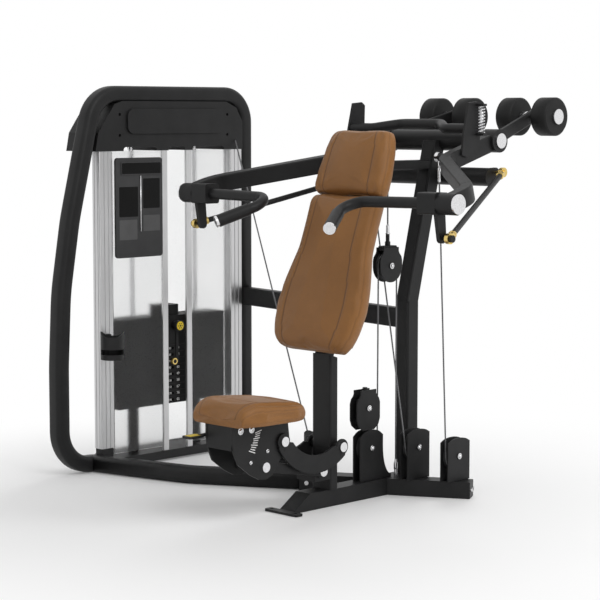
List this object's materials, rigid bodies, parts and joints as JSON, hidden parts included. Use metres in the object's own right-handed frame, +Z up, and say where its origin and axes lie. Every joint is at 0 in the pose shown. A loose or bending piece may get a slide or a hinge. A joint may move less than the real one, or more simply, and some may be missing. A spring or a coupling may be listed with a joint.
{
  "type": "selectorised shoulder press machine",
  "caption": "Seated press machine with a frosted weight tower, tan leather pads, a swinging seat lift and counterweighted press arms on parallel links.",
  "frame": {"origin": "on the floor under the middle of the seat post", "axes": "+Z up, -Y the way the user faces, +X the user's left; the weight tower stands at -X"},
  "size_m": [1.8933, 1.557, 1.48],
  "materials": {
    "frame_black": "satin powder coat with a fine grain",
    "bright_steel": "bright plated",
    "cable_steel": "wound strand under a clear coat",
    "column_aluminium": "satin anodised",
    "frosted_sheet": "frosted translucent sheet",
    "black_plastic": "fine moulded grain",
    "plate_black": "matt black paint",
    "black_rubber": "matt",
    "black_strap": "woven",
    "black_board": "black painted ply",
    "tan_leather": "grained, semi-matt, sewn seams",
    "zinc_yellow": "yellow passivated zinc"
  },
  "bodies": {
    "frame": {"seat_beam": "frame_black", "diagonal_rail": "frame_black", "seat_post": "frame_black", "rear_upright": "frame_black", "cross_tube": "frame_black", "pivot_tube": "frame_black", "crossbar": "frame_black", "pad_spine": "frame_black", "tower_hoop": "frame_black", "pulley_housings": "frame_black", "pivot_shaft": "bright_steel", "guide_rods": "bright_steel", "post_pins": "bright_steel", "frame_bolts": "bright_steel", "arm_cables": "cable_steel", "main_cable": "cable_steel", "stack_cables": "cable_steel", "extrusions": "column_aluminium", "front_shrouds": "frosted_sheet", "back_shroud": "frosted_sheet", "tower_base": "black_plastic", "tower_cap": "black_plastic", "placard": "black_plastic", "cup_holder": "black_plastic", "resting_plates": "plate_black", "bumpers": "black_rubber", "back_boards": "black_board", "back_pad": "tan_leather", "head_pad": "tan_leather", "rear_link_pins": "zinc_yellow"},
    "stack": {"lifted_plates": "plate_black", "head_plate": "plate_black", "selector_rod": "bright_steel", "stack_strap": "black_strap"},
    "selector": {"selector_pin": "zinc_yellow"},
    "knob": {"weight_knob": "black_plastic"},
    "upper_lift": {"upper_swing": "frame_black"},
    "lower_lift": {"lower_swing": "frame_black"},
    "seat": {"seat_carriage": "frame_black", "carriage_pins": "bright_steel", "seat_cushion": "tan_leather"},
    "lever": {"release_lever": "black_plastic"},
    "left_press": {"left_arm": "frame_black", "left_weights": "plate_black", "latch_frame": "frame_black", "latch_springs": "bright_steel"},
    "right_press": {"right_arm": "frame_black", "right_weights": "plate_black"},
    "left_grip": {"left_handle": "frame_black", "left_caps": "bright_steel"},
    "right_grip": {"right_handle": "frame_black", "right_caps": "bright_steel"},
    "left_tie": {"left_link": "frame_black"},
    "right_tie": {"right_link": "frame_black"},
    "wheel_1": {"pulley_wheel_1": "black_plastic"},
    "wheel_2": {"pulley_wheel_2": "black_plastic"},
    "wheel_3": {"pulley_wheel_3": "black_plastic"},
    "wheel_4": {"pulley_wheel_4": "black_plastic"},
    "block": {"floating_block": "frame_black"},
    "block_wheel": {"floating_wheel": "black_plastic"}
  },
  "joints": [
    {"name": "left_arm_press", "type": "hinge", "parent": "frame", "child": "left_press", "pos_m": [0.255, 0.603, 1.278], "axis": [-1, 0, 0], "range_deg": [0, 50], "deforming": ["arm_cables"]},
    {"name": "right_arm_press", "type": "hinge", "parent": "frame", "child": "right_press", "pos_m": [-0.255, 0.603, 1.278], "axis": [-1, 0, 0], "range_deg": [0, 50]},
    {"name": "left_grip_level", "type": "hinge", "parent": "left_press", "child": "left_grip", "pos_m": [0.622, -0.066, 1.085], "axis": [-1, 0, 0], "range_deg": [-50, 0]},
    {"name": "right_grip_level", "type": "hinge", "parent": "right_press", "child": "right_grip", "pos_m": [-0.622, -0.066, 1.085], "axis": [-1, 0, 0], "range_deg": [-50, 0]},
    {"name": "left_tie_swing", "type": "hinge", "parent": "frame", "child": "left_tie", "pos_m": [0.29, 0.615, 1.165], "axis": [-1, 0, 0], "range_deg": [0, 50]},
    {"name": "right_tie_swing", "type": "hinge", "parent": "frame", "child": "right_tie", "pos_m": [-0.29, 0.615, 1.165], "axis": [-1, 0, 0], "range_deg": [0, 50]},
    {"name": "stack_lift", "type": "slide", "parent": "frame", "child": "stack", "axis": [0, 0, 1], "range_m": [0, 0.3001], "deforming": ["stack_cables"]},
    {"name": "block_lift", "type": "slide", "parent": "frame", "child": "block", "axis": [0, 0, 1], "range_m": [0, 0.1501]},
    {"name": "block_wheel_turn", "type": "hinge", "parent": "block", "child": "block_wheel", "pos_m": [0.02, 0.3, 0.832], "axis": [1, 0, 0], "range_deg": [0, 360]},
    {"name": "wheel_1_turn", "type": "hinge", "parent": "frame", "child": "wheel_1", "pos_m": [0, 0.222, 0.178], "axis": [1, 0, 0], "range_deg": [0, 360]},
    {"name": "wheel_2_turn", "type": "hinge", "parent": "frame", "child": "wheel_2", "pos_m": [0.1, 0.36273, 0.176], "axis": [-1, 0, 0], "range_deg": [0, 290]},
    {"name": "wheel_3_turn", "type": "hinge", "parent": "frame", "child": "wheel_3", "pos_m": [0.228, 0.43664, 0.15], "axis": [-1, 0, 0], "range_deg": [0, 290]},
    {"name": "wheel_4_turn", "type": "hinge", "parent": "frame", "child": "wheel_4", "pos_m": [-0.232, 0.18452, 0.15], "axis": [0.3852, 0.9228, 0], "range_deg": [0, 360]},
    {"name": "selector_pull", "type": "slide", "parent": "stack", "child": "selector", "axis": [1, 0, 0], "range_m": [0, 0.08]},
    {"name": "knob_turn", "type": "hinge", "parent": "stack", "child": "knob", "pos_m": [-1.08, 0.247, 0.534], "axis": [1, 0, 0], "range_deg": [0, 90]},
    {"name": "seat_lift", "type": "hinge", "parent": "frame", "child": "upper_lift", "pos_m": [0, 0.01, 0.215], "axis": [-1, 0, 0], "range_deg": [-8, 22]},
    {"name": "lower_lift_swing", "type": "hinge", "parent": "frame", "child": "lower_lift", "pos_m": [0, -0.07, 0.136], "axis": [-1, 0, 0], "range_deg": [-8, 22]},
    {"name": "seat_level", "type": "hinge", "parent": "upper_lift", "child": "seat", "pos_m": [0, -0.276, 0.269], "axis": [-1, 0, 0], "range_deg": [-22, 8]},
    {"name": "lever_squeeze", "type": "hinge", "parent": "seat", "child": "lever", "pos_m": [-0.0737, -0.44, 0.306], "axis": [-1, 0, 0], "range_deg": [0, 12], "stiffness_Nm_per_rad": 4, "springref_deg": -17.19}
  ],
  "couplings": [
    {"joint": "right_arm_press", "follows": "left_arm_press", "ratio": 1},
    {"joint": "left_grip_level", "follows": "left_arm_press", "ratio": -1},
    {"joint": "right_grip_level", "follows": "left_arm_press", "ratio": -1},
    {"joint": "left_tie_swing", "follows": "left_arm_press", "ratio": 1},
    {"joint": "right_tie_swing", "follows": "left_arm_press", "ratio": 1},
    {"joint": "stack_lift", "follows": "left_arm_press", "m_per_rad": 0.34377},
    {"joint": "block_lift", "follows": "left_arm_press", "m_per_rad": 0.17189},
    {"joint": "block_wheel_turn", "follows": "left_arm_press", "ratio": 7.16},
    {"joint": "wheel_1_turn", "follows": "left_arm_press", "ratio": 7.16},
    {"joint": "wheel_2_turn", "follows": "left_arm_press", "ratio": 5.7},
    {"joint": "wheel_3_turn", "follows": "left_arm_press", "ratio": 5.7},
    {"joint": "wheel_4_turn", "follows": "left_arm_press", "ratio": 7.16},
    {"joint": "lower_lift_swing", "follows": "seat_lift", "ratio": 1},
    {"joint": "seat_level", "follows": "seat_lift", "ratio": -1}
  ]
}
